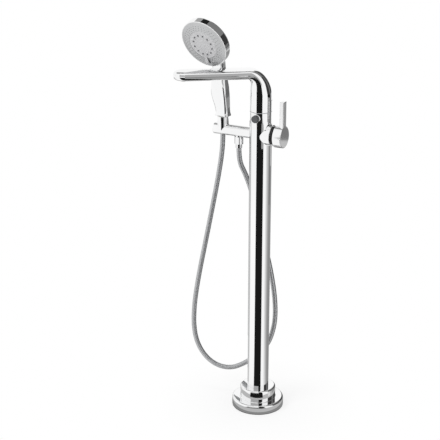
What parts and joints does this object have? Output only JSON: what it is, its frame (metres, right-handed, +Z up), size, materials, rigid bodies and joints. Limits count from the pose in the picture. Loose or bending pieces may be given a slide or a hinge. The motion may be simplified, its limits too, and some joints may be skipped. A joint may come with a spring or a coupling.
{
  "type": "floor standing bath filler",
  "caption": "Floor standing bath filler: round column on a stepped base, swivel spout, single lever mixer, and a handset with hose in a side cradle.",
  "frame": {"origin": "centre of the base's underside, on the floor and on the column's axis", "axes": "+Z up along the column; +X towards the mixer and its lever; -X towards the handset's arm; -Y to the front"},
  "size_m": [0.2969, 0.2121, 1.1262],
  "materials": {
    "chrome": "polished",
    "spray_grey": "satin",
    "selector_grey": "satin",
    "steel": "plain",
    "hose_metal": "wound strip",
    "brass": "cast and turned",
    "copper": "drawn tube",
    "rubber": "matt",
    "nozzle_rubber": "matt",
    "white_plastic": "moulded",
    "grey_plastic": "moulded",
    "black_plastic": "moulded"
  },
  "bodies": {
    "base": {"arm_end_cap": "chrome", "arm_water_pipe": "brass", "base_cover": "chrome", "base_gasket": "rubber", "cartridge_body": "white_plastic", "cartridge_nut": "brass", "check_valve": "white_plastic", "cold_inlet_nut": "brass", "cold_supply_pipe": "copper", "column_foot": "steel", "column_tube": "chrome", "cover_guide_ring": "white_plastic", "cradle_cup": "chrome", "diverter_bush": "chrome", "floor_plate": "steel", "foot_grub_screws": "steel", "foot_screws": "steel", "holder_arm": "chrome", "hose_ferrule": "chrome", "hose_union_nut": "chrome", "hose_washer": "rubber", "hot_inlet_nut": "brass", "hot_supply_pipe": "copper", "mixer_body": "chrome", "outlet_elbow": "chrome", "seal_dome": "black_plastic", "shower_hose": "hose_metal", "spout_nipple": "brass", "spout_o_rings": "rubber", "swivel_washer": "white_plastic", "valve_core": "brass"},
    "spout": {"spout_tube": "chrome", "spout_socket": "brass", "spout_limit_screw": "steel", "outlet_insert": "white_plastic"},
    "rotor": {"cartridge_rotor": "grey_plastic", "tilt_pin": "steel"},
    "handle": {"cartridge_stem": "steel", "mixer_handle": "chrome", "handle_screw": "steel", "handle_plug": "grey_plastic"},
    "diverter": {"diverter_knob": "chrome", "diverter_spool": "brass"},
    "liner": {"cradle_liner": "white_plastic"},
    "handset": {"hose_cone_nut": "chrome", "handset_washer": "rubber", "handset_connector": "brass", "handset_body": "chrome", "spray_face": "spray_grey"},
    "selector": {"spray_selector": "selector_grey", "massage_nozzles": "nozzle_rubber"}
  },
  "joints": [
    {"name": "spout_swivel", "type": "hinge", "parent": "base", "child": "spout", "pos_m": [0, 0, 0.872], "axis": [0, 0, 1], "range_deg": [0, 114]},
    {"name": "mixer_temperature", "type": "hinge", "parent": "base", "child": "rotor", "pos_m": [0, 0, 0.808], "axis": [1, 0, 0], "range_deg": [-45, 45]},
    {"name": "mixer_flow", "type": "hinge", "parent": "rotor", "child": "handle", "pos_m": [0.033, 0, 0.808], "axis": [0, 1, 0], "range_deg": [0, 15]},
    {"name": "diverter_pull", "type": "slide", "parent": "base", "child": "diverter", "axis": [0, -1, 0], "range_m": [0, 0.01]},
    {"name": "handset_swivel", "type": "hinge", "parent": "base", "child": "liner", "pos_m": [-0.112, 0, 0.84], "axis": [0, 0, 1], "range_deg": [-120, 0]},
    {"name": "handset_lift", "type": "slide", "parent": "liner", "child": "handset", "axis": [0, 0, 1], "range_m": [0, 0.025]},
    {"name": "spray_select", "type": "hinge", "parent": "handset", "child": "selector", "pos_m": [-0.12605, -0.08485, 1.056], "axis": [-0.1501, -0.9068, -0.3939], "range_deg": [-35, 35]}
  ]
}
